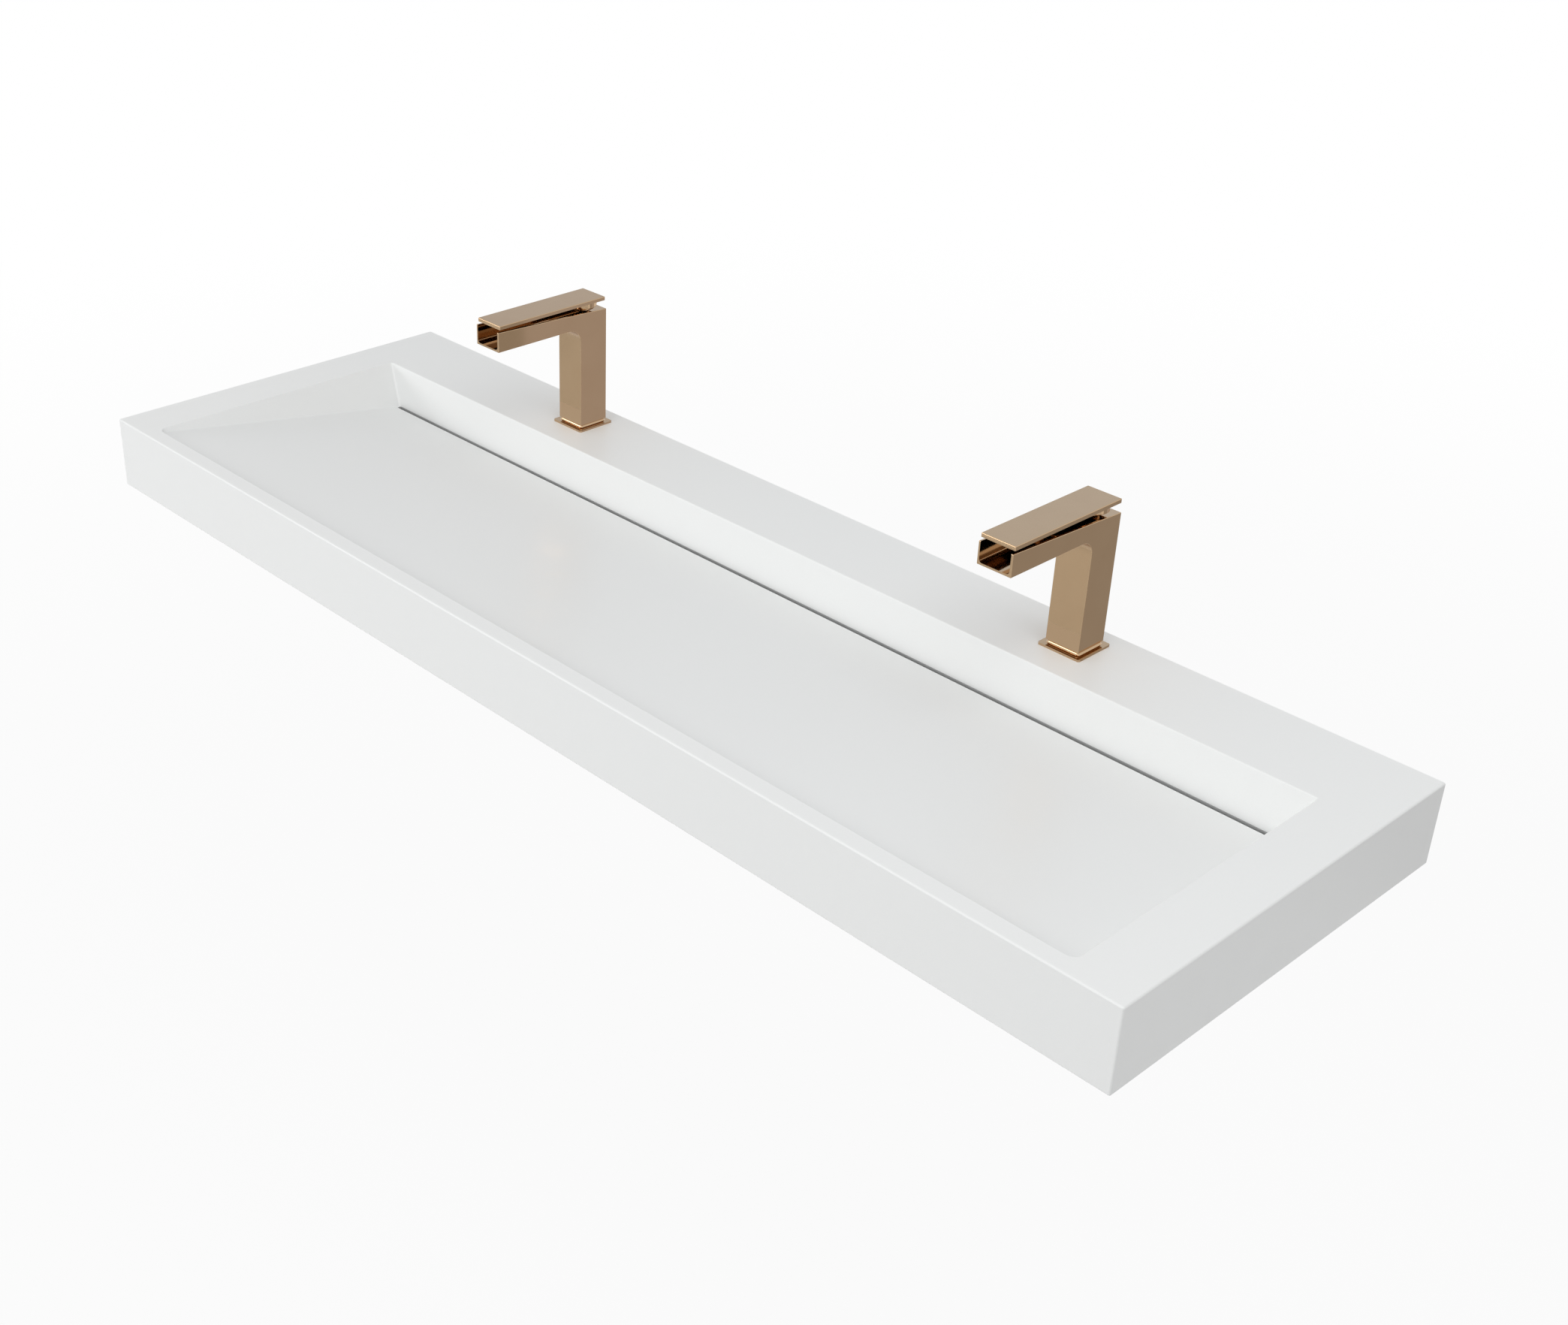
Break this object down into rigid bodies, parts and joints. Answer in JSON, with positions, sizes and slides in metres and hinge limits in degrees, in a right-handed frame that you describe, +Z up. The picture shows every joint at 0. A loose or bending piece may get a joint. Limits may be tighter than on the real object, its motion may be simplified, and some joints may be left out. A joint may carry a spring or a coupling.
{
  "type": "wall-hung washbasin",
  "caption": "Long wall-hung washbasin in white solid surface with a sloping floor, a slot drain and single-lever open-spout taps on its rear deck.",
  "frame": {"origin": "on the wall plane, in the middle of the four wall screws, 51 mm below the rim", "axes": "+X along the basin to the right as its user sees it, +Y into the wall, +Z up"},
  "size_m": [1.524, 0.483, 0.3495],
  "materials": {
    "solid_surface": "satin",
    "rose_gold": "polished",
    "waste_brass": "polished",
    "plain_brass": "satin",
    "bracket_steel": "satin",
    "zinc_steel": "satin",
    "seal_rubber": "matte",
    "white_plastic": "satin",
    "disc_ceramic": "satin"
  },
  "bodies": {
    "basin": {"basin_body": "solid_surface", "drain_trough": "solid_surface", "waste_outlet": "waste_brass", "waste_seal": "seal_rubber", "waste_gasket": "seal_rubber", "waste_washer": "white_plastic", "waste_nut": "waste_brass", "left_wall_bracket": "bracket_steel", "right_wall_bracket": "bracket_steel", "bracket_screws": "zinc_steel", "bracket_washers": "zinc_steel", "bracket_inserts": "plain_brass", "left_tap_body": "rose_gold", "left_tap_foot_plate": "rose_gold", "left_tap_foot_seal": "seal_rubber", "left_tap_stud": "zinc_steel", "left_tap_clamp_rubber": "seal_rubber", "left_tap_clamp_plate": "zinc_steel", "left_tap_clamp_nut": "plain_brass", "left_tap_cartridge_housing": "white_plastic", "left_tap_fixed_disc": "disc_ceramic", "left_tap_cartridge_nut": "plain_brass", "left_tap_bonnet": "rose_gold", "right_tap_body": "rose_gold", "right_tap_foot_plate": "rose_gold", "right_tap_foot_seal": "seal_rubber", "right_tap_stud": "zinc_steel", "right_tap_clamp_rubber": "seal_rubber", "right_tap_clamp_plate": "zinc_steel", "right_tap_clamp_nut": "plain_brass", "right_tap_cartridge_housing": "white_plastic", "right_tap_fixed_disc": "disc_ceramic", "right_tap_cartridge_nut": "plain_brass", "right_tap_bonnet": "rose_gold"},
    "left_turning_core": {"left_tap_rotor": "white_plastic", "left_tap_stem_pin": "zinc_steel"},
    "left_lever": {"left_tap_lever": "rose_gold", "left_tap_lever_stem": "plain_brass", "left_tap_lever_screw": "zinc_steel", "left_tap_lever_button": "rose_gold"},
    "left_valve_disc": {"left_tap_moving_disc": "disc_ceramic"},
    "right_turning_core": {"right_tap_rotor": "white_plastic", "right_tap_stem_pin": "zinc_steel"},
    "right_lever": {"right_tap_lever": "rose_gold", "right_tap_lever_stem": "plain_brass", "right_tap_lever_screw": "zinc_steel", "right_tap_lever_button": "rose_gold"},
    "right_valve_disc": {"right_tap_moving_disc": "disc_ceramic"}
  },
  "joints": [
    {"name": "left_lever_turn", "type": "hinge", "parent": "basin", "child": "left_turning_core", "pos_m": [-0.381, -0.0475, 0.196], "axis": [0, 0, 1], "range_deg": [-45, 45]},
    {"name": "left_lever_lift", "type": "hinge", "parent": "left_turning_core", "child": "left_lever", "pos_m": [-0.381, -0.0475, 0.196], "axis": [-1, 0, 0], "range_deg": [0, 20]},
    {"name": "left_disc_slide", "type": "slide", "parent": "left_turning_core", "child": "left_valve_disc", "axis": [0, -1, 0], "range_m": [0, 0.0034]},
    {"name": "right_lever_turn", "type": "hinge", "parent": "basin", "child": "right_turning_core", "pos_m": [0.381, -0.0475, 0.196], "axis": [0, 0, 1], "range_deg": [-45, 45]},
    {"name": "right_lever_lift", "type": "hinge", "parent": "right_turning_core", "child": "right_lever", "pos_m": [0.381, -0.0475, 0.196], "axis": [-1, 0, 0], "range_deg": [0, 20]},
    {"name": "right_disc_slide", "type": "slide", "parent": "right_turning_core", "child": "right_valve_disc", "axis": [0, -1, 0], "range_m": [0, 0.0034]}
  ],
  "couplings": [
    {"joint": "left_disc_slide", "follows": "left_lever_lift", "m_per_rad": 0.00931},
    {"joint": "right_disc_slide", "follows": "right_lever_lift", "m_per_rad": 0.00931}
  ]
}
